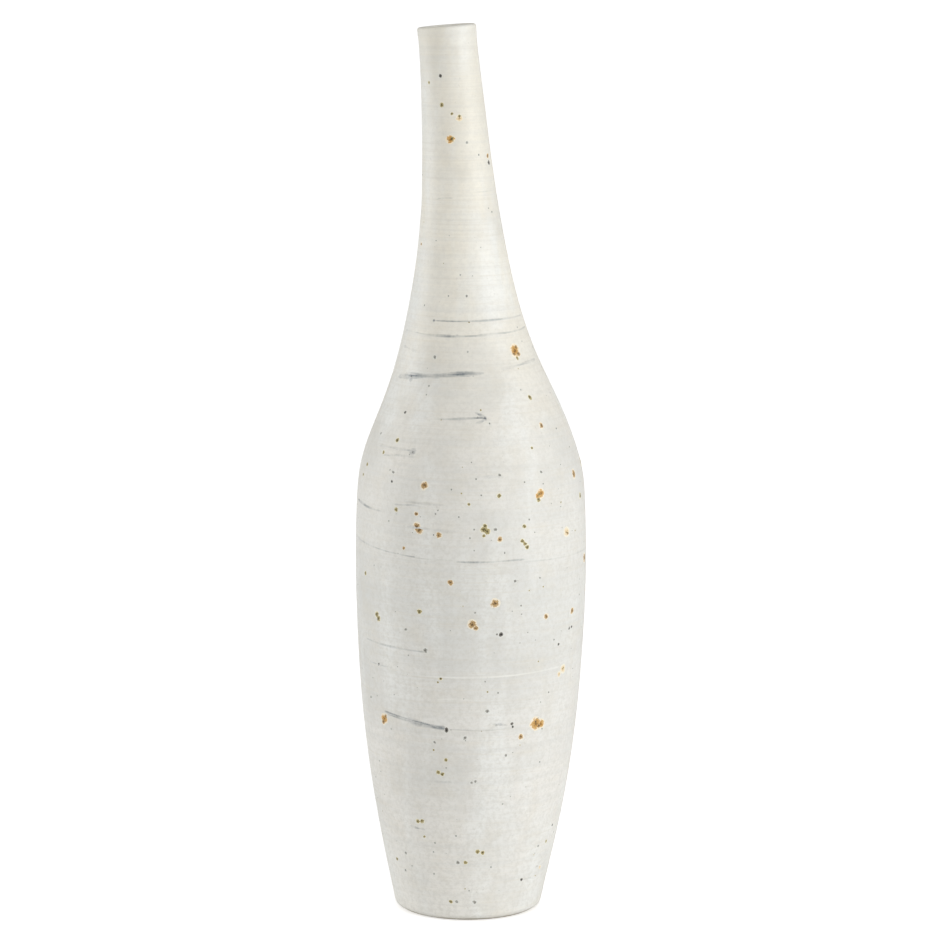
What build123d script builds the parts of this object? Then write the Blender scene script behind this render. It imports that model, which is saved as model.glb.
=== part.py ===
"""A tall stoneware bottle vase with a leaning neck, in millimetres, +Z up.

The vase is thrown in three sections on the wheel and built up on a foot ring. Each pair meets in a
ring-shaped V joint: the lower edge is grooved, the upper edge has the matching tongue, and a layer
of slip lutes them together. One coat of glaze lines the inside, another covers the outside, laps
over the lip and stops just above the foot, where the clay is bare.

The origin is on the ground, on the belly's axis. The neck leans towards -X.
"""

from build123d import *

import os
from math import cos, radians, sin

# Driving dimensions
HEIGHT = 460.0          # ground to the middle of the lip
BELLY_RADIUS = 60.0     # the widest place, glaze included
LIP_RADIUS = 15.3
HEEL_RADIUS = 37.8      # where the wall's line would meet the ground, before the heel is rounded
HEEL_ROUND = 6.0
LIP_TILT = 4.4          # degrees; the lip is square to the leaning neck, so its +X side is the higher
TILT_START = 231.0      # below this height every section is level
TILT_POWER = 0.6        # under 1, because the sections tip fastest where the neck starts to lean

# Clay and glaze
OUTER_GLAZE = 0.5
LINER_GLAZE = 0.4
WALL_AT_FLOOR = 5.8     # clay thickness, thinning evenly up to the lip
WALL_AT_LIP = 3.8
FLOOR_TOP = 12.0        # height of the inside floor's clay
FLOOR_ROUND = 8.0       # radius where the floor turns up into the wall
LIP_ROUND = 0.8         # the clay's lip; the glaze over it is rounder by its own thickness
LINER_DEPTH = 9.0       # how far down the bore the outer glaze laps before the liner starts
GLAZE_FOOT_GAP = 1.3    # bare clay between the ground and the outer glaze

# Foot ring
FOOT_INNER_RADIUS = 26.5
FOOT_RECESS = 6.6       # depth of the trimmed underside inside the ring
FOOT_EDGE_CHAMFER = 0.8

# Joints between the thrown pieces
SLIP_THICKNESS = 0.6
TONGUE_DEPTH = 2.2
TONGUE_HALF_WIDTH = 1.3
FOOT_JOINT = 6.0        # heights of the three joints
SHOULDER_JOINT = 233.0
NECK_JOINT = 372.0
SEAM_OVERRUN = 6.0      # how far a joint's cutting ring reaches past both sides of the wall

# The glazed outline from the ground up: height, radius, sideways lean of the centre
OUTLINE = [
    (0.0, HEEL_RADIUS, -1.6),
    (30.0, 44.2, -1.3),
    (60.0, 50.0, -0.9),
    (100.0, 55.5, -0.6),
    (140.0, 58.6, -0.3),
    (185.0, BELLY_RADIUS, 0.0),
    (215.0, 59.4, 0.0),
    (231.0, 58.0, 0.0),
    (245.0, 54.4, -0.3),
    (265.0, 46.6, -0.5),
    (290.0, 36.5, -2.2),
    (315.0, 29.2, -3.7),
    (345.0, 23.2, -4.8),
    (380.0, 18.9, -6.6),
    (415.0, 16.6, -8.9),
    (440.0, 15.4, -10.8),
    (HEIGHT, LIP_RADIUS, -12.5),
]
HEIGHTS = [station[0] for station in OUTLINE]


def along_outline(height, column):
    """A column of OUTLINE at any height, running straight from one station to the next."""
    for low, high in zip(OUTLINE, OUTLINE[1:]):
        if height <= high[0]:
            break
    share = (height - low[0]) / (high[0] - low[0])
    return low[column] + share * (high[column] - low[column])


def outer_radius(height):
    return along_outline(height, 1)


def lean(height):
    return along_outline(height, 2)


def tilt(height):
    """Degrees by which the section at this height tips, following the neck's lean."""
    rise = max(0.0, height - TILT_START) / (HEIGHT - TILT_START)
    return LIP_TILT * rise**TILT_POWER


def wall(height):
    """Clay thickness at this height."""
    rise = (height - FLOOR_TOP) / (HEIGHT - FLOOR_TOP)
    return WALL_AT_FLOOR + (WALL_AT_LIP - WALL_AT_FLOOR) * max(0.0, rise)


def section_plane(height):
    """The plane square to the centre line at this height."""
    angle = radians(tilt(height))
    return Plane(
        origin=(lean(height), 0, height),
        x_dir=(cos(angle), 0, sin(angle)),
        z_dir=(-sin(angle), 0, cos(angle)),
    )


def stack(heights, radius_at):
    """A solid lofted through circles at these heights."""
    return loft([section_plane(h) * Circle(radius_at(h)) for h in heights])


def core(skin):
    """The solid that fills the inside of the clay, or of the liner glaze when skin is its thickness.

    It stands past the lip, so that it opens the mouth when it is cut away.
    """
    heights = [FLOOR_TOP + skin] + HEIGHTS[1:]

    def radius_at(height):
        return outer_radius(height) - OUTER_GLAZE - wall(height) - skin

    inside = stack(heights, radius_at)
    inside = fillet(inside.edges().sort_by(Axis.Z)[0], FLOOR_ROUND - skin)
    mouth = section_plane(HEIGHT)
    plug = mouth * Cylinder(radius_at(HEIGHT), 2 * LIP_ROUND, align=(Align.CENTER, Align.CENTER, Align.MIN))
    return inside + plug


def pot_body(skin, top):
    """The vase's outer shape as a full solid, drawn in by skin, with its heel rounded."""
    body = stack(HEIGHTS[:-1] + [top], lambda height: outer_radius(height) - skin)
    heel = body.edges().sort_by(Axis.Z)[0]
    return fillet(heel, HEEL_ROUND - skin)


def round_lip(pot, radius):
    """Rounds both edges of the flat ring at the top of the neck."""
    ring = pot.faces().sort_by(Axis.Z)[-1]
    return fillet(ring.edges(), radius)


def joint_ring(height, inner, outer):
    """A ring of V section, wide enough to cut right through the wall between these two radii."""
    middle = (inner + outer) / 2
    path = [
        (inner - SEAM_OVERRUN, 0),
        (middle - TONGUE_HALF_WIDTH, 0),
        (middle, -TONGUE_DEPTH),
        (middle + TONGUE_HALF_WIDTH, 0),
        (outer + SEAM_OVERRUN, 0),
    ]
    bottom = [(r, h - SLIP_THICKNESS / 2) for r, h in path]
    top = [(r, h + SLIP_THICKNESS / 2) for r, h in reversed(path)]
    profile = Plane.XZ * make_face(Polyline(*bottom, *top, close=True))
    return section_plane(height) * revolve(profile, Axis.Z)


def make_clay():
    """The whole clay wall and floor, before the foot is trimmed and the joints are cut."""
    body = pot_body(OUTER_GLAZE, HEIGHT - OUTER_GLAZE)
    return round_lip(body - core(0), LIP_ROUND)


def make_joints():
    """The cutting rings of the three joints, from the foot up."""
    foot_outer = outer_radius(FOOT_JOINT) - OUTER_GLAZE
    rings = [joint_ring(FOOT_JOINT, FOOT_INNER_RADIUS, foot_outer)]
    for height in (SHOULDER_JOINT, NECK_JOINT):
        clay_outer = outer_radius(height) - OUTER_GLAZE
        rings.append(joint_ring(height, clay_outer - wall(height), clay_outer))
    return rings


def trim_foot(clay):
    """Cuts the recess inside the foot ring and breaks the ring's inner edge on the ground."""
    hollow = Cylinder(FOOT_INNER_RADIUS, FOOT_RECESS, align=(Align.CENTER, Align.CENTER, Align.MIN))
    flare = Cone(
        FOOT_INNER_RADIUS + FOOT_EDGE_CHAMFER,
        FOOT_INNER_RADIUS,
        FOOT_EDGE_CHAMFER,
        align=(Align.CENTER, Align.CENTER, Align.MIN),
    )
    return clay - Pos(lean(0), 0, 0) * (hollow + flare)


def make_glazes(clay):
    """The outer glaze and the liner glaze of this clay."""
    lined = core(LINER_GLAZE)
    coated = round_lip(pot_body(0, HEIGHT) - lined, LIP_ROUND + OUTER_GLAZE)
    below_mouth = section_plane(HEIGHT - LINER_DEPTH) * Box(
        4 * BELLY_RADIUS, 4 * BELLY_RADIUS, 2 * HEIGHT, align=(Align.CENTER, Align.CENTER, Align.MAX)
    )
    liner = (core(0) - lined) & below_mouth
    bare_foot = Cylinder(2 * BELLY_RADIUS, 2 * GLAZE_FOOT_GAP)
    return coated - clay - liner - bare_foot, liner


clay = make_clay()
trimmed = trim_foot(clay)
joints = make_joints()
slips = [trimmed & ring for ring in joints]
foot_ring, lower, shoulder, neck = (trimmed - joints).solids().sort_by(Axis.Z)
outer_glaze, liner_glaze = make_glazes(clay)

parts = {
    "foot_ring": foot_ring,
    "foot_slip_seam": slips[0],
    "lower_section": lower,
    "shoulder_slip_seam": slips[1],
    "shoulder_section": shoulder,
    "neck_slip_seam": slips[2],
    "neck_section": neck,
    "liner_glaze": liner_glaze,
    "outer_glaze": outer_glaze,
}

os.makedirs("parts", exist_ok=True)
for name, shape in parts.items():
    export_step(shape, f"parts/{name}.step")
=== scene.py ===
"""The looks of a stoneware bottle vase: glaze coat, brushwork, iron spots, materials, light and camera."""

import math

import bpy
import numpy as np
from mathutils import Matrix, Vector
from mathutils.bvhtree import BVHTree


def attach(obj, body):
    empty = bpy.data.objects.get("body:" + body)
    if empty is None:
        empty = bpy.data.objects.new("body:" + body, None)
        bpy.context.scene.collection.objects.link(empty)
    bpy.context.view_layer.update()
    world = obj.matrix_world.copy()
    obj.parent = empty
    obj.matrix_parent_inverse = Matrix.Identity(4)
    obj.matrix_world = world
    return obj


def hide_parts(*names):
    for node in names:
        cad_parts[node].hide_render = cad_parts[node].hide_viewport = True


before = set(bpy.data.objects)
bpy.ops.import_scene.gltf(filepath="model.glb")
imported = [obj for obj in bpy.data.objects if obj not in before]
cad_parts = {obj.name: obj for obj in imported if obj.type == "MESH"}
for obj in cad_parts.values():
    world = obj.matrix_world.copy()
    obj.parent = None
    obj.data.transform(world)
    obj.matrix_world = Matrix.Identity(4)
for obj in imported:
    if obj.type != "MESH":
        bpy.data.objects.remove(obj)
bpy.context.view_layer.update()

MM = 0.001
SEED = 7                   # the brushwork draws from it, and the spots and specks from the next two

# The vase and its glaze coat, as the CAD model has them
HEIGHT = 460 * MM          # to the middle of the lip
GLAZE = 0.5 * MM
HEEL_ROUND = 6.0 * MM
HEEL_TOP = 0.8 * HEEL_ROUND  # where the round meets the sloping wall
LIP_ROUND = 1.3 * MM
LIP_TILT = math.radians(4.4)
TILT_START = 231 * MM
TILT_POWER = 0.6
WALL_AT_LIP = 4.3 * MM     # clay, and the glaze outside it
GLAZE_LAP = 9.0 * MM       # how far the outer glaze goes down the bore

# Mesh density of the coat
AROUND = 192
ROW_STEP = 1.2 * MM
HEEL_STEPS = 12
LIP_STEPS = 5              # for each quarter turn over the lip, and for the lap below it
BACK_STEPS = 60            # rows down the hidden side, against the clay

# Throwing marks: shallow spiral ridges and a slow wobble off the round. Both are cut inwards, so that
# the coat stays inside the CAD box.
RIDGE_DEPTH = 0.09 * MM
RIDGE_PITCHES = (5.3, 7.1, 9.7, 12.9, 17.3)      # millimetres from ridge to ridge
WOBBLE_DEPTH = 0.22 * MM

# The glaze's lower edge: its height at the front and back, how much higher it is at the sides, and the
# bead it gathered there
EDGE_HEIGHT = 0.95 * MM
EDGE_RISE = 1.3 * MM
EDGE_BEAD = 0.12 * MM

# How much the glaze's lap inside the bore widens with depth
BORE_SLOPE = 0.004

# Brushwork and iron spots are thin closed skins, domed so that they stand a little proud of the glaze
LAYER_SINK = 0.02 * MM     # depth of the rim below the glaze's surface
LAYER_LIFT = 0.06 * MM     # how much higher the middle is than the rim
LAYER_DEPTH = 0.18 * MM    # depth of the underside


# ---------------------------------------------------------------- shape

def tilt_at(height):
    """How far the section at this height tips, following the neck's lean."""
    rise = np.clip((height - TILT_START) / (HEIGHT - TILT_START), 0, 1)
    return LIP_TILT * rise**TILT_POWER


def section_of(tree, height):
    """Radius and centre of the section at this height, from rays along its plane from both sides.

    The plane turns about the centre, so the centre is found in a few passes.
    """
    far, passes = 0.3, 3
    tip = float(tilt_at(height))
    across = Vector((math.cos(tip), 0, math.sin(tip)))
    centre = 0.0
    for _ in range(passes):
        middle = Vector((centre, 0, height))
        right = (tree.ray_cast(middle + far * across, -across)[0] - middle).dot(across)
        left = (tree.ray_cast(middle - far * across, across)[0] - middle).dot(across)
        centre += (right + left) / 2 * math.cos(tip)
    return (right - left) / 2, centre


def outline_of(node):
    """Heights, radii and centres of a CAD node's outer surface.

    Each value is read off a parabola through the sections within reach of it, which takes the facets out.
    """
    step, reach = 1.5 * MM, 9 * MM
    tree = BVHTree.FromObject(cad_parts[node], bpy.context.evaluated_depsgraph_get())
    heights = np.arange(HEEL_ROUND + step, HEIGHT - 3 * LIP_ROUND, step)
    sections = np.array([section_of(tree, float(h)) for h in heights])
    smooth = []
    for h in heights:
        near = abs(heights - h) <= reach
        curve = np.polyfit(heights[near] - h, sections[near], 2)
        smooth.append(curve[-1])
    radii, centres = np.transpose(smooth)
    return heights, radii, centres


OUTLINE_HEIGHTS, OUTLINE_RADII, OUTLINE_CENTRES = outline_of("outer_glaze")


def along_outline(height, values):
    """One of the outline's values at any height, carried on in a straight line past both ends."""
    heights = OUTLINE_HEIGHTS
    span = 12 * MM
    inside = np.interp(height, heights, values)
    low_slope = (np.interp(heights[0] + span, heights, values) - values[0]) / span
    high_slope = (values[-1] - np.interp(heights[-1] - span, heights, values)) / span
    under = np.minimum(0, height - heights[0])
    over = np.maximum(0, height - heights[-1])
    return inside + low_slope * under + high_slope * over


def radius_at(height):
    return along_outline(height, OUTLINE_RADII)


def centre_at(height):
    return along_outline(height, OUTLINE_CENTRES)


def marks_at(height, angle):
    """How far the thrower's ridges and the wobble cut into the surface, each from nothing to its depth."""
    turn = angle / math.tau
    up = height / MM
    ridges = 0
    for i, pitch in enumerate(RIDGE_PITCHES):
        strength = 0.5 + 0.5 * np.sin(up / (4.1 * pitch) + 1.7 * i)
        ridges = ridges + strength * np.sin(math.tau * (up / pitch + turn) + 2.3 * i)
    ridges = 0.5 + 0.5 * ridges / len(RIDGE_PITCHES)
    lobes = np.sin(2 * angle + up / 70.0) + 0.6 * np.sin(3 * angle - up / 45.0 + 2.0)
    wobble = 0.5 + 0.5 * lobes / 1.6
    return RIDGE_DEPTH * ridges + WOBBLE_DEPTH * wobble


def on_vase(height, angle, radius):
    """Points at this distance from the leaning centre line. Angle 0 faces the front, 90 degrees is +X."""
    height, angle, radius = np.broadcast_arrays(height, angle, radius)
    tip = tilt_at(height)
    sideways = radius * np.sin(angle)
    return np.stack(
        [
            centre_at(height) + sideways * np.cos(tip),
            -radius * np.cos(angle),
            height + sideways * np.sin(tip),
        ],
        axis=-1,
    )


def on_glaze(height, angle, proud):
    """Points this far proud of the glaze's outer surface."""
    return on_vase(height, angle, radius_at(height) - marks_at(height, angle) + proud)


# ---------------------------------------------------------------- meshes

def new_piece(name, points, faces, attributes):
    """A smooth mesh object that rides on the vase."""
    mesh = bpy.data.meshes.new(name)
    mesh.from_pydata(points.tolist(), [], faces)
    for key, values in attributes.items():
        layer = mesh.attributes.new(key, "FLOAT", "POINT")
        layer.data.foreach_set("value", np.asarray(values, dtype=np.float32))
    mesh.validate()
    mesh.shade_smooth()
    piece = bpy.data.objects.new(name, mesh)
    bpy.context.collection.objects.link(piece)
    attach(piece, "root")
    return piece


def grid_faces(rows, columns, start=0, wrap_rows=False, wrap_columns=False):
    """Quads of a grid of points, with either direction closed on itself."""
    faces = []
    for i in range(rows if wrap_rows else rows - 1):
        below = (i + 1) % rows
        for j in range(columns if wrap_columns else columns - 1):
            right = (j + 1) % columns
            upper, lower = start + i * columns, start + below * columns
            faces.append((upper + j, upper + right, lower + right, lower + j))
    return faces


def heel_radius(height, skin=0.0):
    """Radius on the heel, whose round meets both the ground and the sloping wall. skin draws it in."""
    sweep = HEEL_ROUND - skin
    slope = (radius_at(HEEL_ROUND) - radius_at(0)) / HEEL_ROUND
    middle = radius_at(0) - skin + sweep * (slope - math.hypot(1, slope))
    return middle + np.sqrt(sweep**2 - (sweep - height) ** 2)


def foot_edge(angle):
    """Height at which the glaze stops above the ground: uneven, and higher at the sides."""
    wave = 0.14 * np.sin(angle * 3 + 0.8) + 0.12 * np.sin(angle * 7 + 2.0) + 0.08 * np.sin(angle * 13)
    return EDGE_HEIGHT + EDGE_RISE * np.sin(angle) ** 4 + wave * MM


def make_glaze_coat():
    """The outer glaze: up the outside, over the lip, down the bore, and back along the clay.

    The attribute "thin" says where the glaze is thin enough for the clay to show through, which is at
    its lower edge. It also carries painted shade there, darkest next to the ground where the heel turns
    under.
    """
    angles = np.linspace(-math.pi, math.pi, AROUND, endpoint=False)
    lip_start = HEIGHT - LIP_ROUND
    low = foot_edge(angles)
    rows = []
    thin = []

    def add_row(height, radius, marked=0.0, thinness_and_shade=0.0):
        radius = np.broadcast_to(radius, angles.shape) - marked * marks_at(height, angles)
        rows.append(on_vase(height, angles, radius))
        thin.append(np.full(AROUND, thinness_and_shade))

    # Heel, from the glaze's lower edge round to the wall
    bead_place, bead_width = 0.15, 0.12
    for i in range(HEEL_STEPS):
        share = i / HEEL_STEPS
        height = low + (HEEL_TOP - low) * share
        swell = EDGE_BEAD * math.exp(-((share - bead_place) / bead_width) ** 2)
        # The lowest heel rows darken towards the clay: thin glaze, and painted shade where the heel turns
        # under to the ground
        add_row(height, heel_radius(height) + swell, share, math.exp(-share * 5))

    # Wall, where the throwing marks fade out below the lip
    fade_length = 6 * MM
    count = round((lip_start - HEEL_TOP) / ROW_STEP)
    for height in np.linspace(HEEL_TOP, lip_start, count):
        add_row(height, radius_at(height), min(1.0, (lip_start - height) / fade_length))

    # Lip, over the top and into the bore
    lip_radius = float(radius_at(HEIGHT))
    bore = lip_radius - WALL_AT_LIP - GLAZE
    for turn in np.linspace(0, math.pi / 2, LIP_STEPS + 1)[1:]:
        add_row(lip_start + LIP_ROUND * math.sin(turn), lip_radius - LIP_ROUND * (1 - math.cos(turn)))
    for turn in np.linspace(math.pi / 2, math.pi, LIP_STEPS + 1)[1:]:
        add_row(lip_start + LIP_ROUND * math.sin(turn), bore + LIP_ROUND * (1 + math.cos(turn)))
    for depth in np.linspace(0, GLAZE_LAP - LIP_ROUND, LIP_STEPS + 1)[1:]:
        add_row(lip_start - depth, bore + BORE_SLOPE * depth)

    # Back along the clay: up the bore, across under the lip, and down to the lower edge
    nearly_through, hidden = 0.9, 0.3
    for height in np.linspace(HEIGHT - GLAZE_LAP, lip_start, LIP_STEPS + 1):
        add_row(height, bore + GLAZE * nearly_through, 0, hidden)
    crown_width = WALL_AT_LIP - 2 * LIP_ROUND + GLAZE
    for share in np.linspace(0, 1, LIP_STEPS):
        add_row(HEIGHT - GLAZE, bore + LIP_ROUND + crown_width * share, 0, hidden)
    for height in np.linspace(lip_start, HEEL_TOP, BACK_STEPS):
        add_row(height, radius_at(height) - GLAZE, 0, hidden)
    for share in (0.8, 0.6, 0.4, 0.2, 0.04):
        height = low + (HEEL_TOP - low) * share
        add_row(height, heel_radius(height, GLAZE), 0, hidden)

    points = np.concatenate(rows)
    faces = grid_faces(len(rows), AROUND, wrap_rows=True, wrap_columns=True)
    return new_piece("glaze_coat", points, faces, {"thin": np.concatenate(thin)})


# ---------------------------------------------------------------- brushwork

# Each stroke: height and angle where it starts and ends, width, and how dark it is at its start,
# middle and end. A negative darkness is a pale line. Heights and widths in millimetres, angles in degrees.
STROKES = [
    # up the neck
    (373, -40, 374, -6, 0.9, (0.20, 0.40, 0.20)),
    (376, 12, 375, 70, 0.8, (0.10, 0.25, 0.10)),
    (312, -31, 311, 78, 1.0, (1.00, 0.75, 0.30)),
    (306, -76, 305, -26, 0.9, (0.20, 0.30, 0.55)),
    (305, -38, 304, 22, 1.2, (0.50, 0.95, 0.25)),
    (304, 10, 305, 80, 1.1, (0.35, 0.60, 0.45)),
    (298, -72, 296, -42, 1.3, (0.30, 0.25, 0.05)),
    # the long dark stroke across the shoulder, and its tail on the right
    (283, -67, 285, -20, 2.7, (0.80, 1.10, 1.00)),
    (285, -30, 286, 14, 2.1, (1.10, 1.20, 0.80)),
    (284.6, -56, 284.8, 4, 1.0, (0.60, 0.80, 0.60)),
    (287, 26, 289, 74, 1.5, (0.15, 0.60, 0.40)),
    # the shoulder turn
    (248, -62, 248, -30, 1.2, (0.20, 0.35, 0.55)),
    (244, -56, 245, -30, 1.0, (0.35, 0.35, 0.25)),
    (217, -80, 215, -50, 1.3, (1.00, 0.85, 0.20)),
    (220, -42, 220, -22, 1.0, (0.55, 0.45, 0.10)),
    (222, -36, 221, -12, 1.4, (0.20, 0.45, 0.10)),
    # the belly, with one ring that goes nearly all the way round
    (198, -84, 194, -27, 0.9, (0.20, 0.45, 0.75)),
    (194, -30, 193, -8, 0.7, (0.30, 0.12, 0.15)),
    (192.7, -8, 192.7, 28, 0.9, (0.70, 0.85, 0.40)),
    (192, 26, 191, 84, 0.8, (0.25, 0.12, 0.25)),
    (147, -66, 145, -22, 1.1, (0.35, 0.55, 0.40)),
    (135, -64, 135, -42, 0.9, (0.30, 0.35, 0.05)),
    (132, -38, 134, 52, 1.0, (-0.35, -0.80, -0.30)),
    (121, -18, 121, 6, 1.1, (-0.30, -0.50, -0.10)),
    # the double stroke that ends in a dot, and the thin line it trails
    (111, -52, 106, -14, 1.2, (0.90, 1.20, 1.30)),
    (110, -50, 105, -12, 1.0, (0.70, 1.10, 1.40)),
    (108.6, -36, 105.5, -12, 2.9, (0.30, 0.95, 1.30)),
    (105, -12, 105, 21, 0.8, (0.45, 0.25, 0.30)),
    (108, 11, 107, 21, 1.2, (0.25, 0.80, 0.35)),
    (51, -40, 50, -27, 1.2, (0.20, 0.55, 0.35)),
    (21, 42, 20, 58, 0.8, (0.30, 0.35, 0.10)),
    # round the back
    (309, 110, 307, 205, 0.9, (0.50, 0.60, 0.20)),
    (283, 128, 285, 196, 1.6, (0.60, 0.90, 0.30)),
    (240, 215, 243, 262, 1.1, (0.20, 0.50, 0.30)),
    (205, 120, 207, 190, 0.9, (0.30, 0.55, 0.20)),
    (191, 95, 196, 255, 0.8, (0.20, 0.50, 0.25)),
    (158, 150, 154, 215, 1.5, (0.40, 0.80, 0.90)),
    (136, 100, 133, 180, 1.0, (-0.30, -0.60, -0.30)),
    (112, 205, 109, 262, 0.9, (0.35, 0.60, 0.20)),
    (88, 130, 85, 176, 1.4, (0.50, 0.80, 0.40)),
    (46, 170, 47, 214, 0.9, (0.30, 0.50, 0.20)),
]
# A short mark on the shoulder: a shaft that darkens towards a head with two barbs
SHAFT = (264, -24, 264, 10, 1.2, (0.20, 0.75, 1.20))
BARBS = [
    (266.8, 2.5, 264.3, 10.5, 1.8, (0.60, 1.10, 1.30)),
    (261.3, 2.5, 263.8, 10.5, 1.4, (0.30, 0.80, 1.20)),
]
# Faint smudges of the same brush, listed as strokes are
SMUDGES = [
    (236, 2, 235, 18, 1.6, (0.05, 0.28, 0.10)),
    (209, -34, 208, -6, 1.5, (0.20, 0.35, 0.10)),
    (77, -21, 77, -9, 1.4, (0.15, 0.35, 0.10)),
]
# Blots where the brush was pressed or lifted: height, angle, size and darkness
BLOTS = [
    (312, -31, 1.6, 1.3),
    (304.5, -7, 1.4, 0.8),
    (284, -48, 4.2, 1.0),
    (284.8, -24, 2.0, 0.6),
    (264, 9.0, 2.4, 1.1),
    (247, -33, 3.6, 0.75),
    (107.6, 14, 1.8, 0.6),
    (215, -40, 1.4, 0.3),
    (285, 196, 2.6, 0.7),
    (154, 215, 2.6, 0.8),
]


def ribbon(stroke, rng):
    """Points, faces and darkness of one brush stroke, a thin closed strip laid on the glaze."""
    h0, a0, h1, a1, width, dark = stroke
    point_step, taper_length, columns = 0.7 * MM, 2.2 * MM, 9
    start, end = math.radians(a0), math.radians(a1)
    length = abs(end - start) * radius_at((h0 + h1) / 2 * MM)
    count = max(12, round(length / point_step))
    s = np.linspace(0, 1, count)
    to_end = np.minimum(s, 1 - s)

    # The hand drifts a little and presses unevenly, and the brush runs dry and reloads
    drift = 0.25 * np.sin(s * rng.uniform(3, 8) + rng.uniform(0, 6))
    press = 0.85 + 0.2 * np.sin(s * rng.uniform(5, 11) + rng.uniform(0, 6))
    load = 0.8 + 0.3 * np.sin(s * rng.uniform(9, 17) + rng.uniform(0, 6))
    taper = np.minimum(1, to_end * length / taper_length) ** 0.7
    height = (h0 + (h1 - h0) * s + drift) * MM
    angle = start + (end - start) * s
    half = 0.8 * width * MM * press * (0.35 + 0.65 * taper)

    across = np.linspace(-1, 1, columns)
    h = height[:, None] + half[:, None] * across
    a = np.broadcast_to(angle[:, None], h.shape)
    fade = np.maximum(0, 1 - (across / 0.85) ** 2)
    ink = (np.interp(s, [0, 0.5, 1], dark) * load * taper)[:, None] * fade
    swell = np.minimum(1, to_end * (count - 1) / 3)[:, None] * (1 - across**2)
    top = on_glaze(h, a, LAYER_LIFT * swell - LAYER_SINK)
    bottom = on_glaze(h, a, -LAYER_DEPTH)
    return closed_strip(top, bottom, ink)


def closed_strip(top, bottom, value):
    """Joins a top and a bottom grid of points into one closed skin."""
    rows, columns = top.shape[:2]
    points = np.concatenate([top.reshape(-1, 3), bottom.reshape(-1, 3)])
    under = rows * columns
    faces = grid_faces(rows, columns)
    faces += [tuple(reversed(face)) for face in grid_faces(rows, columns, start=under)]
    loop = list(range(columns))
    loop += [i * columns + columns - 1 for i in range(1, rows)]
    loop += [(rows - 1) * columns + j for j in range(columns - 2, -1, -1)]
    loop += [i * columns for i in range(rows - 2, 0, -1)]
    for here, after in zip(loop, loop[1:] + loop[:1]):
        faces.append((after, here, under + here, under + after))
    return points, faces, np.concatenate([value.reshape(-1), np.zeros(under)])


def blob(height, angle, size, shape, strength):
    """Points, faces and strength of one round mark: a thin closed lens laid on the glaze.

    shape gives the outline's reach in each direction, as a share of half the size, and strength gives
    the mark's strength from its middle to its rim. Small marks have a coarser mesh.
    """
    small = 1.5
    rings, spokes = (7, 24) if size > small else (4, 12)
    spoke = np.linspace(0, math.tau, spokes, endpoint=False)
    share = np.linspace(0, 1, rings + 1)[1:]
    reach = share[:, None] * shape(spoke) * size / 2 * MM
    across, up = reach * np.sin(spoke), reach * np.cos(spoke)
    radius = radius_at(height * MM)
    h = height * MM + up
    a = math.radians(angle) + across / radius
    lift = LAYER_LIFT * (1 - share**2) - LAYER_SINK
    top = on_glaze(h, a, np.broadcast_to(lift[:, None], h.shape))
    bottom = on_glaze(h, a, -LAYER_DEPTH)
    centre = on_glaze(height * MM, math.radians(angle), LAYER_LIFT - LAYER_SINK)
    centre_under = on_glaze(height * MM, math.radians(angle), -LAYER_DEPTH)
    points = np.concatenate([top.reshape(-1, 3), bottom.reshape(-1, 3), centre[None], centre_under[None]])
    under = rings * spokes
    tip, base = 2 * under, 2 * under + 1
    faces = [tuple(reversed(f)) for f in grid_faces(rings, spokes, wrap_columns=True)]
    faces += grid_faces(rings, spokes, start=under, wrap_columns=True)
    for j in range(spokes):
        k = (j + 1) % spokes
        faces.append((tip, k, j))
        faces.append((base, under + j, under + k))
        last = (rings - 1) * spokes
        faces.append((last + j, last + k, under + last + k, under + last + j))
    value = strength(share)[:, None] * np.ones(spokes)
    centre_value = strength(np.array([0.0]))
    return points, faces, np.concatenate([value.reshape(-1), np.zeros(under), centre_value, [0.0]])


def joined(name, skins, key, kinds=None):
    """One piece from several closed skins. Their values become its attribute of that key.

    kinds gives each skin a second value, which becomes the attribute "kind".
    """
    points, faces, values = [], [], []
    count = 0
    for skin_points, skin_faces, skin_values in skins:
        points.append(skin_points)
        faces += [tuple(count + corner for corner in face) for face in skin_faces]
        values.append(skin_values)
        count += len(skin_points)
    attributes = {key: np.concatenate(values)}
    if kinds:
        attributes["kind"] = np.repeat(kinds, [len(skin_points) for skin_points in points])
    return new_piece(name, np.concatenate(points), faces, attributes)


def uneven(rng, amount):
    """An irregular outline: how far a mark reaches in each direction."""
    waves = [(k, rng.uniform(0, math.tau), rng.uniform(0.3, 1.0) / k) for k in (1, 2, 3, 4, 5)]

    def reach(a):
        return 1 + amount * sum(size * np.sin(k * a + phase) for k, phase, size in waves)

    return reach


def soft(dark):
    """A darkness that fades out from the middle of a blot to its rim."""
    def fade(share):
        return dark * (1 - share**2) ** 1.3

    return fade


def make_brushwork():
    spread, raggedness = 1.3, 0.25
    rng = np.random.default_rng(SEED)
    skins = [ribbon(stroke, rng) for stroke in STROKES + [SHAFT] + BARBS]
    for height, angle, size, dark in BLOTS:
        skins.append(blob(height, angle, size * spread, uneven(rng, raggedness), soft(dark)))
    skins += [ribbon(stroke, rng) for stroke in SMUDGES]
    return joined("brushwork", skins, "ink")


# ---------------------------------------------------------------- iron spots

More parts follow.
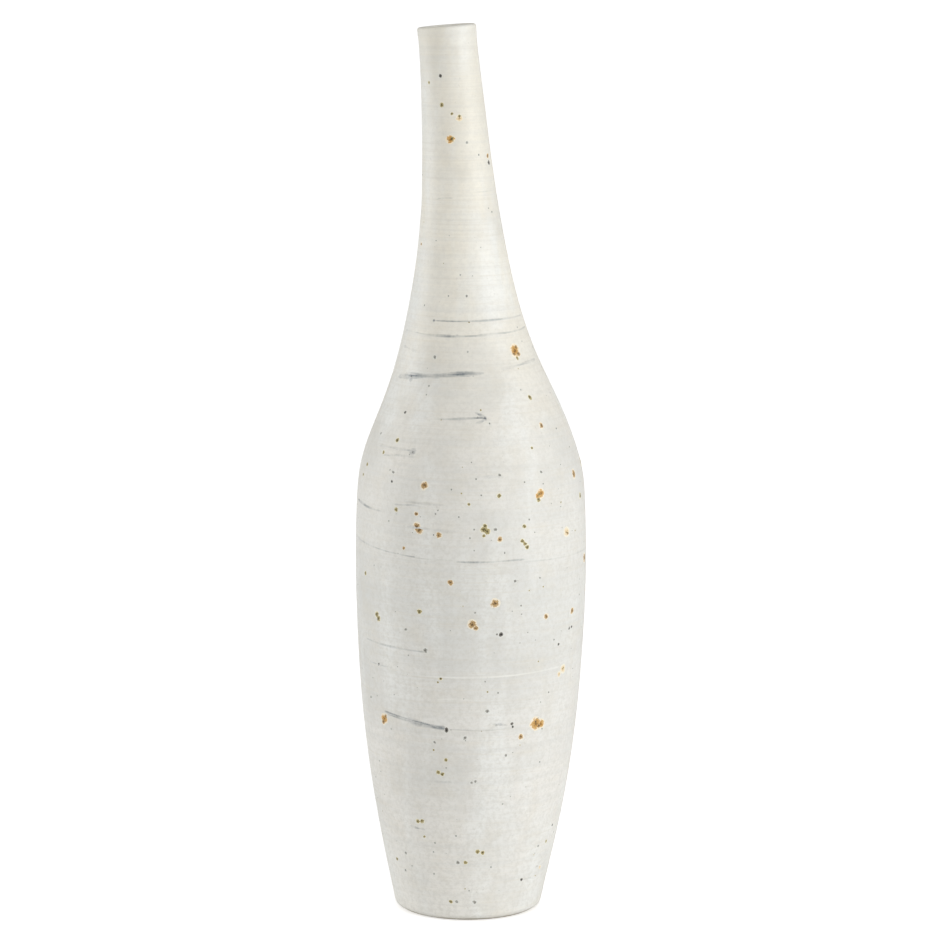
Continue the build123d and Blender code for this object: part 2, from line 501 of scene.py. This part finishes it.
# Each spot: height in millimetres, angle in degrees, size in millimetres, and kind. Where spots run
# together, a large one carries smaller ones.
SPOTS = [
    # neck
    (435.5, -19, 1.4, "black"), (432.2, -46, 1.2, "olive"), (420.7, -20, 1.7, "olive"),
    (416, -3, 1.1, "olive"), (413.6, 10.8, 2.4, "pale"), (414.4, 10.4, 1.4, "olive"),
    (403.3, -6.4, 2.4, "olive"), (403, -7.2, 3.2, "amber"), (401, 20, 1.0, "grey"),
    (393, 64, 1.8, "ochre"), (389.5, 65, 1.8, "black"), (350, -67, 1.3, "ochre"),
    (324, 4, 1.0, "grey"),
    # shoulder
    (294, -27, 1.4, "grey"), (295, 45.6, 4.4, "amber"), (296.4, 48.4, 1.7, "ochre"),
    (293.6, 44, 1.8, "ochre"), (293.4, 48.8, 2.0, "ochre"), (291.2, 46, 1.3, "olive"),
    (272, 45, 1.8, "olive"), (266, -46, 1.2, "black"), (258, 47, 2.0, "ochre"),
    (254, -64, 1.1, "grey"), (252, -46, 1.8, "olive"), (245, -55, 1.4, "olive"),
    (248, 36, 1.1, "olive"), (237, -70, 1.6, "olive"), (236, -44, 1.3, "grey"),
    (231, -73, 1.4, "olive"), (231, -44, 1.2, "black"), (232, 66, 2.8, "ochre"),
    (236, 39, 1.2, "grey"), (236, 15, 1.2, "grey"), (231, -24, 2.9, "ochre"), (226, 14, 1.7, "olive"),
    (225.6, 37.4, 3.2, "amber"), (224.6, 35.2, 2.2, "amber"), (225.4, 36, 1.5, "olive"),
    (222.8, 35.6, 1.8, "olive"), (220, 72, 2.2, "olive"), (222, -1, 1.2, "olive"),
    (217, -40, 1.7, "olive"), (216, -28, 1.6, "ochre"),
    # belly
    (209.6, -27.6, 3.0, "ochre"), (208, -26.3, 2.9, "ochre"), (206, -16, 2.2, "ochre"),
    (211, 6.8, 1.6, "olive"), (209.2, 6.2, 2.5, "olive"), (208, 7.8, 2.3, "olive"),
    (206, 6.4, 1.3, "olive"), (209, 12, 1.4, "grey"), (204, 14, 2.0, "ochre"), (210, 27, 1.6, "olive"),
    (202.3, 26, 1.7, "olive"), (200.8, 27.4, 1.6, "olive"), (199, 28.6, 1.7, "olive"),
    (203.6, 55, 3.4, "pale"), (203.2, 55.8, 1.8, "ochre"), (198, -35, 1.3, "ochre"),
    (187, 78, 3.4, "ochre"), (181, -65, 1.7, "olive"), (182, -10, 2.1, "ochre"),
    (182, 22, 1.2, "grey"), (171, 12, 3.3, "ochre"), (161, -54.4, 2.3, "olive"),
    (159.4, -52.8, 2.2, "olive"), (166, -26, 1.9, "olive"), (162, 40, 2.1, "ochre"),
    (162, 61, 2.4, "ochre"), (160.6, 0.8, 3.2, "ochre"), (158.6, 2.4, 1.9, "ochre"),
    (156, -34, 1.3, "grey"), (155, 15, 1.8, "black"), (155, 13, 1.0, "grey"), (153, 59, 1.2, "black"),
    (153.6, 61.4, 1.2, "black"), (146, 50, 1.2, "black"), (146, -23, 1.9, "grey"),
    (135, -54, 1.3, "black"), (132.6, 55, 3.0, "pale"), (132.9, 55.4, 1.6, "olive"),
    (130, 52, 1.9, "pale"),
    # lower body
    (132, -15, 1.5, "olive"), (116, -64, 1.3, "grey"), (106.6, -51.6, 3.4, "amber"),
    (105, -52.6, 2.2, "ochre"), (108, -50.4, 1.8, "ochre"), (115, 9, 1.5, "grey"),
    (105, -12.4, 1.9, "black"), (107.6, 22.6, 1.2, "black"), (105.9, 23, 1.1, "black"),
    (106, 37.4, 4.6, "amber"), (105.6, 40.6, 3.2, "amber"), (107.2, 37, 2.0, "ochre"),
    (105, 39.4, 2.2, "ochre"), (100, 28, 2.1, "ochre"), (101, -2.5, 1.3, "grey"),
    (98, -19, 1.2, "grey"), (91, 20, 1.1, "grey"), (89, -13, 1.4, "olive"), (82, -17.6, 1.7, "olive"),
    (81, -15.4, 1.5, "olive"), (77, 1, 1.1, "grey"), (77.6, 3.2, 1.1, "grey"),
    # foot
    (54, -32.6, 1.8, "olive"), (54.6, -29.6, 1.7, "olive"), (47, 66, 1.1, "black"),
    (46, -29, 1.1, "olive"), (38, 52, 1.1, "grey"), (39, 61, 1.3, "olive"), (35, -46, 1.3, "grey"),
    (30, -57, 1.3, "olive"), (25, -49, 1.1, "grey"), (39, 5.6, 1.7, "olive"), (38.6, 9, 1.6, "olive"),
    (33, -7, 1.4, "grey"), (33, -2, 1.5, "olive"), (25, 60, 1.5, "pale"), (21, 41, 1.4, "black"),
    (11, -13, 1.4, "olive"), (11, -8.6, 1.3, "grey"), (11, 5, 1.6, "grey"),
]
BACK_SPOTS = 110
BACK_ANGLES = (84, 278)
LARGEST_BACK_SPOT = 3.6
SPECKS = 380
SPECK_SIZES = (0.35, 0.85)
GREY_SPECKS = 0.8          # the rest are olive

# The kinds of spot: how common each is round the back, and its colours. Pale, amber and ochre spots
# burn through the glaze, olive and grey ones lie under it, and black ones are bare iron.
SPOT_KINDS = {
    "pale": (0.05, {"rim": (244, 238, 220), "body": (236, 220, 188), "heart": (216, 190, 142)}),
    "amber": (0.08, {"rim": (250, 236, 206), "body": (209, 167, 100), "heart": (180, 132, 62)}),
    "ochre": (0.37, {"rim": (249, 238, 214), "body": (195, 163, 114), "heart": (124, 96, 56)}),
    "olive": (0.20, {"rim": (240, 234, 208), "body": (174, 161, 112), "heart": (100, 90, 50)}),
    "grey": (0.16, {"rim": (229, 230, 226), "body": (172, 171, 162), "heart": (128, 128, 122)}),
    "black": (0.14, {"rim": (224, 224, 218), "body": (118, 114, 106), "heart": (34, 36, 36)}),
}


def kind_value(kind):
    """The kind as a number from 0 to 1 that the glaze material reads."""
    return list(SPOT_KINDS).index(kind) / (len(SPOT_KINDS) - 1)


def scattered_spots(rng, count, angles, largest):
    """More spots between these angles, mostly small, and fewer where the vase is narrow."""
    lowest, highest, smallest, widest = 8, 452, 0.9, 62 * MM
    kinds = list(SPOT_KINDS)
    shares = [share for share, _ in SPOT_KINDS.values()]
    spots = []
    while len(spots) < count:
        height = rng.uniform(lowest, highest)
        if rng.uniform() > (radius_at(height * MM) / widest) ** 1.6:
            continue
        size = smallest + (largest - smallest) * rng.uniform() ** 3.2
        spots.append((height, rng.uniform(*angles), size, str(rng.choice(kinds, p=shares))))
    return spots


def make_spots(name, spots, rng):
    """One piece from a list of spots. Each reaches past its own size, where its rim fades out."""
    halo, full, raggedness = 1.9, 0.25, 0.17

    def strength(share):
        return np.clip((1 - share) / (1 - full), 0, 1)

    skins = [blob(h, a, size * halo, uneven(rng, raggedness), strength) for h, a, size, _ in spots]
    return joined(name, skins, "iron", [kind_value(kind) for *_, kind in spots])


def make_iron_spots():
    rng = np.random.default_rng(SEED + 1)
    back = scattered_spots(rng, BACK_SPOTS, BACK_ANGLES, LARGEST_BACK_SPOT)
    return make_spots("iron_spots", SPOTS + back, rng)


def make_iron_specks():
    """The finest specks, under a millimetre, all over."""
    rng = np.random.default_rng(SEED + 2)
    specks = []
    for height, angle, *_ in scattered_spots(rng, SPECKS, angles=(-180, 180), largest=1.0):
        kind = "grey" if rng.uniform() < GREY_SPECKS else "olive"
        specks.append((height, angle, rng.uniform(*SPECK_SIZES), kind))
    return make_spots("iron_specks", specks, rng)


# ---------------------------------------------------------------- materials

class Nodes:
    """Short calls for building a material's node tree."""

    def __init__(self, name):
        self.material = bpy.data.materials.new(name)
        self.material.use_nodes = True
        self.tree = self.material.node_tree
        self.shader = self.tree.nodes["Principled BSDF"]
        self.coords = self.tree.nodes.new("ShaderNodeTexCoord").outputs["Object"]

    def link(self, out, into):
        """Feeds a socket from another one, or sets it to a plain value."""
        if hasattr(out, "is_output"):
            self.tree.links.new(out, into)
        else:
            into.default_value = out

    def math(self, operation, a, b, clamp=False):
        node = self.tree.nodes.new("ShaderNodeMath")
        node.operation = operation
        node.use_clamp = clamp
        self.link(a, node.inputs[0])
        self.link(b, node.inputs[1])
        return node.outputs[0]

    def height(self):
        """Height above the ground, in metres."""
        node = self.tree.nodes.new("ShaderNodeSeparateXYZ")
        self.link(self.coords, node.inputs[0])
        return node.outputs["Z"]

    def scaled(self, scale):
        """Coordinates that draw a noise out along the axes where scale is small."""
        node = self.tree.nodes.new("ShaderNodeMapping")
        node.inputs["Scale"].default_value = scale
        self.link(self.coords, node.inputs["Vector"])
        return node.outputs[0]

    def noise(self, scale, detail=3.0, roughness=0.55, vector=None):
        """A noise pattern, with about scale cells to the metre."""
        node = self.tree.nodes.new("ShaderNodeTexNoise")
        node.inputs["Scale"].default_value = scale
        node.inputs["Detail"].default_value = detail
        node.inputs["Roughness"].default_value = roughness
        self.link(vector or self.coords, node.inputs["Vector"])
        return node.outputs["Fac"]

    def span(self, value, low, high, to_low=0.0, to_high=1.0):
        """The value's place between low and high, brought between to_low and to_high and held there."""
        node = self.tree.nodes.new("ShaderNodeMapRange")
        node.clamp = True
        self.link(value, node.inputs["Value"])
        node.inputs["From Min"].default_value = low
        node.inputs["From Max"].default_value = high
        node.inputs["To Min"].default_value = to_low
        node.inputs["To Max"].default_value = to_high
        return node.outputs["Result"]

    def mix(self, share, a, b):
        node = self.tree.nodes.new("ShaderNodeMix")
        node.data_type = "RGBA"
        self.link(share, node.inputs["Factor"])
        self.link(a, node.inputs["A"])
        self.link(b, node.inputs["B"])
        return node.outputs["Result"]

    def attribute(self, name):
        node = self.tree.nodes.new("ShaderNodeAttribute")
        node.attribute_name = name
        return node.outputs["Fac"]

    def bands(self, value, stops):
        """A colour from a list of (place, colour) stops."""
        node = self.tree.nodes.new("ShaderNodeValToRGB")
        ramp = node.color_ramp
        while len(ramp.elements) < len(stops):
            ramp.elements.new(0.5)
        for element, (place, colour) in zip(ramp.elements, stops):
            element.position = place
            element.color = colour
        self.link(value, node.inputs["Fac"])
        return node.outputs["Color"]

    def bump(self, height, distance, strength, below=None):
        node = self.tree.nodes.new("ShaderNodeBump")
        node.inputs["Strength"].default_value = strength
        node.inputs["Distance"].default_value = distance
        self.link(height, node.inputs["Height"])
        if below is not None:
            self.link(below, node.inputs["Normal"])
        return node.outputs["Normal"]


def colour(red, green, blue):
    """A colour given as 0 to 255 screen values, as linear light."""
    linear = []
    for value in (red, green, blue):
        share = value / 255
        linear.append(share / 12.92 if share <= 0.04045 else ((share + 0.055) / 1.055) ** 2.4)
    return (*linear, 1.0)


# The glaze's own colour, by height as a share of the whole: greyest on the belly, creamiest on the neck
TONES = [
    (0.00, colour(235, 233, 227)), (0.20, colour(232, 230, 225)), (0.36, colour(225, 225, 221)),
    (0.52, colour(231, 229, 223)), (0.74, colour(239, 235, 223)), (0.96, colour(231, 227, 215)),
]
ASH = colour(209, 210, 207)
WARM = colour(218, 211, 195)
WHITE = colour(238, 239, 236)
DUST = colour(206, 204, 196)
PEPPER = colour(160, 154, 140)
# Clay showing through thin glaze, also used as painted shade along the glaze's lower edge
CLAY_THROUGH_GLAZE_AND_SHADE = colour(140, 134, 118)
INK = colour(68, 86, 100)
PALE_LINE = colour(246, 245, 240)
LINER = colour(208, 203, 188)
LINER_RINGS = colour(176, 170, 152)
LINER_PEPPER = colour(110, 96, 78)

# Light, dark and grit
CLAY = (colour(176, 167, 143), colour(148, 137, 112), colour(102, 90, 68))
SLIP = (colour(158, 146, 124), colour(130, 116, 94), colour(88, 74, 58))


def glaze_ground(n, streaks, lines):
    """The bare glaze: off-white, with clouds that run a little, and streaked by the throwing."""
    clouds = n.noise(24.0, 4.0)
    runs = n.noise(1.0, 3.0, 0.5, n.scaled((50.0, 50.0, 10.0)))
    patches = n.noise(70.0, 4.0, 0.6)
    base = n.bands(n.math("DIVIDE", n.height(), HEIGHT), TONES)
    base = n.mix(n.span(clouds, 0.45, 0.72, 0.0, 0.55), base, ASH)
    base = n.mix(n.span(runs, 0.50, 0.66, 0.0, 0.75), base, WHITE)
    base = n.mix(n.span(patches, 0.50, 0.75, 0.0, 0.36), base, WARM)
    base = n.mix(n.span(streaks, 0.46, 0.76, 0.0, 0.34), base, ASH)
    return n.mix(n.span(lines, 0.50, 0.78, 0.0, 0.36), base, WARM)


def add_dusting(n, base, mottle):
    """A fine mottle, stronger low down, grey-brown pepper, and the clay that shows through thin glaze,
    with painted shade at the glaze's lower edge.
    """
    dusting = n.math("MULTIPLY", n.span(mottle, 0.42, 0.66), n.span(n.height(), 0.18, 0.34, 0.46, 0.22))
    base = n.mix(dusting, base, DUST)
    pepper = n.noise(900.0, 2.0, 0.5)
    base = n.mix(n.span(pepper, 0.68, 0.78, 0.0, 0.26), base, PEPPER)
    # Clay showing through thin glaze, and painted shade, at the glaze's lower edge by the ground
    return n.mix(n.math("MULTIPLY", n.attribute("thin"), 0.75), base, CLAY_THROUGH_GLAZE_AND_SHADE)


def add_brushwork(n, base, mottle):
    """Blue-grey strokes, broken up along the bristles, and pale lines where the darkness is negative."""
    bristles = n.noise(1.0, 3.0, 0.6, n.scaled((60.0, 60.0, 2600.0)))
    ink = n.attribute("ink")
    broken = n.math("MULTIPLY", ink, n.span(bristles, 0.30, 0.65, 0.25, 0.75))
    broken = n.math("MULTIPLY", broken, n.span(mottle, 0.35, 0.65, 0.75, 1.25), clamp=True)
    base = n.mix(broken, base, INK)
    return n.mix(n.math("MULTIPLY", ink, -0.9, clamp=True), base, PALE_LINE)


def add_spots(n, base, iron):
    """Iron spots: a pale rim, a tinted body with a ragged edge, and darker grains at its heart."""
    kind = n.attribute("kind")
    rim, body, heart = [n.bands(kind, kind_colours(part)) for part in ("rim", "body", "heart")]
    raggedness, graininess = 1.3, 2.2
    ragged = n.math("MULTIPLY", n.math("SUBTRACT", n.noise(1100.0, 2.0, 0.5), 0.5), raggedness)
    edge = n.math("ADD", iron, n.math("MULTIPLY", ragged, n.span(iron, 0.0, 0.35)), clamp=True)
    grains = n.math("MULTIPLY", n.math("SUBTRACT", n.noise(1500.0, 2.0, 0.5), 0.5), graininess)
    body = n.mix(n.span(n.math("ADD", iron, grains), 0.78, 1.06), body, heart)
    base = n.mix(n.span(iron, 0.02, 0.20, 0.0, 0.70), base, rim)
    return n.mix(n.span(edge, 0.38, 0.60), base, body)


def kind_colours(part):
    """The colour of one part of a spot for each kind, as stops for Nodes.bands."""
    return [(kind_value(kind), colour(*colours[part])) for kind, (_, colours) in SPOT_KINDS.items()]


def glaze_material():
    """Satin off-white glaze, with the brushwork and iron spots that are fired into it."""
    n = Nodes("satin_glaze")
    streaks = n.noise(1.0, 4.0, 0.6, n.scaled((9.0, 9.0, 380.0)))
    lines = n.noise(1.0, 3.0, 0.6, n.scaled((26.0, 26.0, 1200.0)))
    mottle = n.noise(480.0, 3.0, 0.7)
    iron = n.attribute("iron")
    base = glaze_ground(n, streaks, lines)
    base = add_dusting(n, base, mottle)
    base = add_brushwork(n, base, mottle)
    base = add_spots(n, base, iron)
    n.link(base, n.shader.inputs["Base Color"])

    # Satin, and duller on the iron, with fine throwing lines and pits in its skin
    rough = n.span(n.noise(180.0, 3.0), 0.3, 0.7, 0.46, 0.56)
    rough = n.math("ADD", rough, n.math("MULTIPLY", iron, 0.12))
    n.link(rough, n.shader.inputs["Roughness"])
    skin = n.bump(streaks, 0.10 * MM, 0.5)
    skin = n.bump(lines, 0.05 * MM, 0.5, skin)
    skin = n.bump(n.noise(700.0, 3.0), 0.04 * MM, 0.35, skin)
    n.link(skin, n.shader.inputs["Normal"])
    n.shader.inputs["Coat Weight"].default_value = 0.08
    n.shader.inputs["Coat Roughness"].default_value = 0.35
    n.shader.inputs["IOR"].default_value = 1.5
    return n.material


def clay_material(name, light, dark, grit):
    """Bare fired stoneware: gritty, matt, with coarse grog."""
    n = Nodes(name)
    mottle = n.noise(160.0, 5.0)
    base = n.mix(n.span(mottle, 0.35, 0.7), light, dark)
    grog = n.noise(1300.0, 2.0)
    base = n.mix(n.span(grog, 0.60, 0.72, 0.0, 0.8), base, grit)
    n.link(base, n.shader.inputs["Base Color"])
    n.link(n.span(mottle, 0.3, 0.7, 0.78, 0.92), n.shader.inputs["Roughness"])
    n.link(n.bump(n.noise(900.0, 4.0), 0.12 * MM, 0.7), n.shader.inputs["Normal"])
    return n.material


def liner_material():
    """The poured liner glaze: a greyer cream, with throwing rings and pepper."""
    n = Nodes("liner_glaze")
    rings = n.noise(1.0, 3.0, 0.6, n.scaled((6.0, 6.0, 420.0)))
    base = n.mix(n.span(rings, 0.35, 0.75), LINER, LINER_RINGS)
    pepper = n.noise(800.0, 2.0)
    base = n.mix(n.span(pepper, 0.64, 0.74, 0.0, 0.5), base, LINER_PEPPER)
    n.link(base, n.shader.inputs["Base Color"])
    n.link(n.span(rings, 0.3, 0.7, 0.34, 0.46), n.shader.inputs["Roughness"])
    n.link(n.bump(rings, 0.15 * MM, 0.6), n.shader.inputs["Normal"])
    return n.material


def dress(piece, material):
    piece.data.materials.clear()
    piece.data.materials.append(material)


# ---------------------------------------------------------------- studio

# Lengths in metres, except for the sensor and the lens, which are in millimetres
CAMERA_DISTANCE = 2.120
CAMERA_RISE = math.radians(8.5)
AIM_HEIGHT = 0.2302
SENSOR = 36.0
LENS = 156.34

# The soft lights stand on both sides and face the vase. Their tints are barely blue.
LIGHT_HEIGHT = 0.45
LIGHT_LENGTH = 2.0
LIGHT_AIM = 0.24
KEY_TINT = (0.985, 0.995, 1.0)
SIDE_TINT = (0.98, 0.995, 1.0)

# The glow around the vase, from the front and from the back, and the floor: the light it gives, and
# what it adds for the camera alone, so that it looks as white as the background
WORLD_TINT = (1.0, 0.992, 0.97, 1)
WORLD_FRONT = 0.70
WORLD_BACK = 0.32
FLOOR_COLOUR = colour(226, 226, 226)
FLOOR_LIGHT = 0.22
FLOOR_GLOW = 0.42


def make_camera():
    data = bpy.data.cameras.new("camera")
    data.sensor_width = SENSOR
    data.lens = LENS
    data.clip_start, data.clip_end = 0.05, 200
    camera = bpy.data.objects.new("camera", data)
    back = Vector((0, -math.cos(CAMERA_RISE), math.sin(CAMERA_RISE)))
    camera.location = Vector((0, 0, AIM_HEIGHT)) + back * CAMERA_DISTANCE
    camera.rotation_mode = "QUATERNION"
    camera.rotation_quaternion = (-back).to_track_quat("-Z", "Y")
    bpy.context.collection.objects.link(camera)
    bpy.context.scene.camera = camera


def softbox(name, azimuth, distance, width, power, tint):
    """A large soft light. Azimuth 0 is at the camera, and 90 degrees is at +X."""
    data = bpy.data.lights.new(name, "AREA")
    data.shape = "RECTANGLE"
    data.size, data.size_y = width, LIGHT_LENGTH
    data.energy = power
    data.color = tint
    light = bpy.data.objects.new(name, data)
    turn = math.radians(azimuth)
    light.location = (distance * math.sin(turn), -distance * math.cos(turn), LIGHT_HEIGHT)
    toward = Vector((0, 0, LIGHT_AIM)) - light.location
    light.rotation_mode = "QUATERNION"
    light.rotation_quaternion = toward.to_track_quat("-Z", "Y")
    bpy.context.collection.objects.link(light)


def seen_and_cast(tree, seen, cast):
    """A shader socket that is one thing to the camera and another as light."""
    path = tree.nodes.new("ShaderNodeLightPath")
    mix = tree.nodes.new("ShaderNodeMixShader")
    tree.links.new(path.outputs["Is Camera Ray"], mix.inputs["Fac"])
    tree.links.new(cast, mix.inputs[1])
    tree.links.new(seen, mix.inputs[2])
    return mix.outputs[0]


def make_world():
    """White behind the vase, and for its light a soft glow that is dimmer from the back."""
    world = bpy.data.worlds.new("studio")
    world.use_nodes = True
    tree = world.node_tree
    tree.nodes.clear()
    output = tree.nodes.new("ShaderNodeOutputWorld")
    seen = tree.nodes.new("ShaderNodeBackground")
    cast = tree.nodes.new("ShaderNodeBackground")
    seen.inputs["Color"].default_value = (1, 1, 1, 1)
    cast.inputs["Color"].default_value = WORLD_TINT
    direction = tree.nodes.new("ShaderNodeTexCoord")
    axes = tree.nodes.new("ShaderNodeSeparateXYZ")
    fade = tree.nodes.new("ShaderNodeMapRange")
    beside, behind = -0.2, 1.0
    fade.inputs["From Min"].default_value = beside
    fade.inputs["From Max"].default_value = behind
    fade.inputs["To Min"].default_value = WORLD_FRONT
    fade.inputs["To Max"].default_value = WORLD_BACK
    tree.links.new(direction.outputs["Generated"], axes.inputs[0])
    tree.links.new(axes.outputs["Y"], fade.inputs["Value"])
    tree.links.new(fade.outputs["Result"], cast.inputs["Strength"])
    tree.links.new(seen_and_cast(tree, seen.outputs[0], cast.outputs[0]), output.inputs["Surface"])
    bpy.context.scene.world = world


def make_floor():
    """A plain pale floor, a round sheet in rings that runs out of sight."""
    reach, sides, rings = 60.0, 64, 12
    turns = np.linspace(0, math.tau, sides, endpoint=False)
    points = [(0.0, 0.0, 0.0)]
    for i in range(rings):
        radius = reach * ((i + 1) / rings) ** 2
        points += [(radius * math.cos(turn), radius * math.sin(turn), 0.0) for turn in turns]
    faces = [(0, 1 + j, 1 + (j + 1) % sides) for j in range(sides)]
    faces += [tuple(reversed(face)) for face in grid_faces(rings, sides, start=1, wrap_columns=True)]
    mesh = bpy.data.meshes.new("floor")
    mesh.from_pydata(points, [], faces)
    floor = bpy.data.objects.new("floor", mesh)
    bpy.context.collection.objects.link(floor)

    n = Nodes("floor")
    n.shader.inputs["Base Color"].default_value = FLOOR_COLOUR
    n.shader.inputs["Roughness"].default_value = 0.9
    n.shader.inputs["Specular IOR Level"].default_value = 0.0
    n.shader.inputs["Emission Color"].default_value = (1, 1, 1, 1)
    n.shader.inputs["Emission Strength"].default_value = FLOOR_LIGHT
    glow = n.tree.nodes.new("ShaderNodeEmission")
    glow.inputs["Strength"].default_value = FLOOR_GLOW
    both = n.tree.nodes.new("ShaderNodeAddShader")
    n.link(n.shader.outputs[0], both.inputs[0])
    n.link(glow.outputs[0], both.inputs[1])
    output = n.tree.nodes["Material Output"]
    n.link(seen_and_cast(n.tree, both.outputs[0], n.shader.outputs[0]), output.inputs["Surface"])
    dress(floor, n.material)


def make_studio():
    make_camera()
    make_world()
    make_floor()
    softbox("key", azimuth=62, distance=3.0, width=1.4, power=51, tint=KEY_TINT)
    softbox("side", azimuth=-100, distance=2.8, width=1.2, power=28, tint=SIDE_TINT)
    scene = bpy.context.scene
    scene.view_settings.view_transform = "Standard"
    scene.view_settings.look = "None"


# ---------------------------------------------------------------- the vase

glaze = glaze_material()
coat = make_glaze_coat()
brushwork = make_brushwork()
iron_spots = make_iron_spots()
iron_specks = make_iron_specks()
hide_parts("outer_glaze")
for piece in (coat, brushwork, iron_spots, iron_specks):
    dress(piece, glaze)

clay = clay_material("bare_clay", *CLAY)
slip = clay_material("slip", *SLIP)
node_materials = {
    "foot_ring": clay,
    "lower_section": clay,
    "shoulder_section": clay,
    "neck_section": clay,
    "foot_slip_seam": slip,
    "shoulder_slip_seam": slip,
    "neck_slip_seam": slip,
    "liner_glaze": liner_material(),
}
for node, material in node_materials.items():
    dress(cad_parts[node], material)

make_studio()
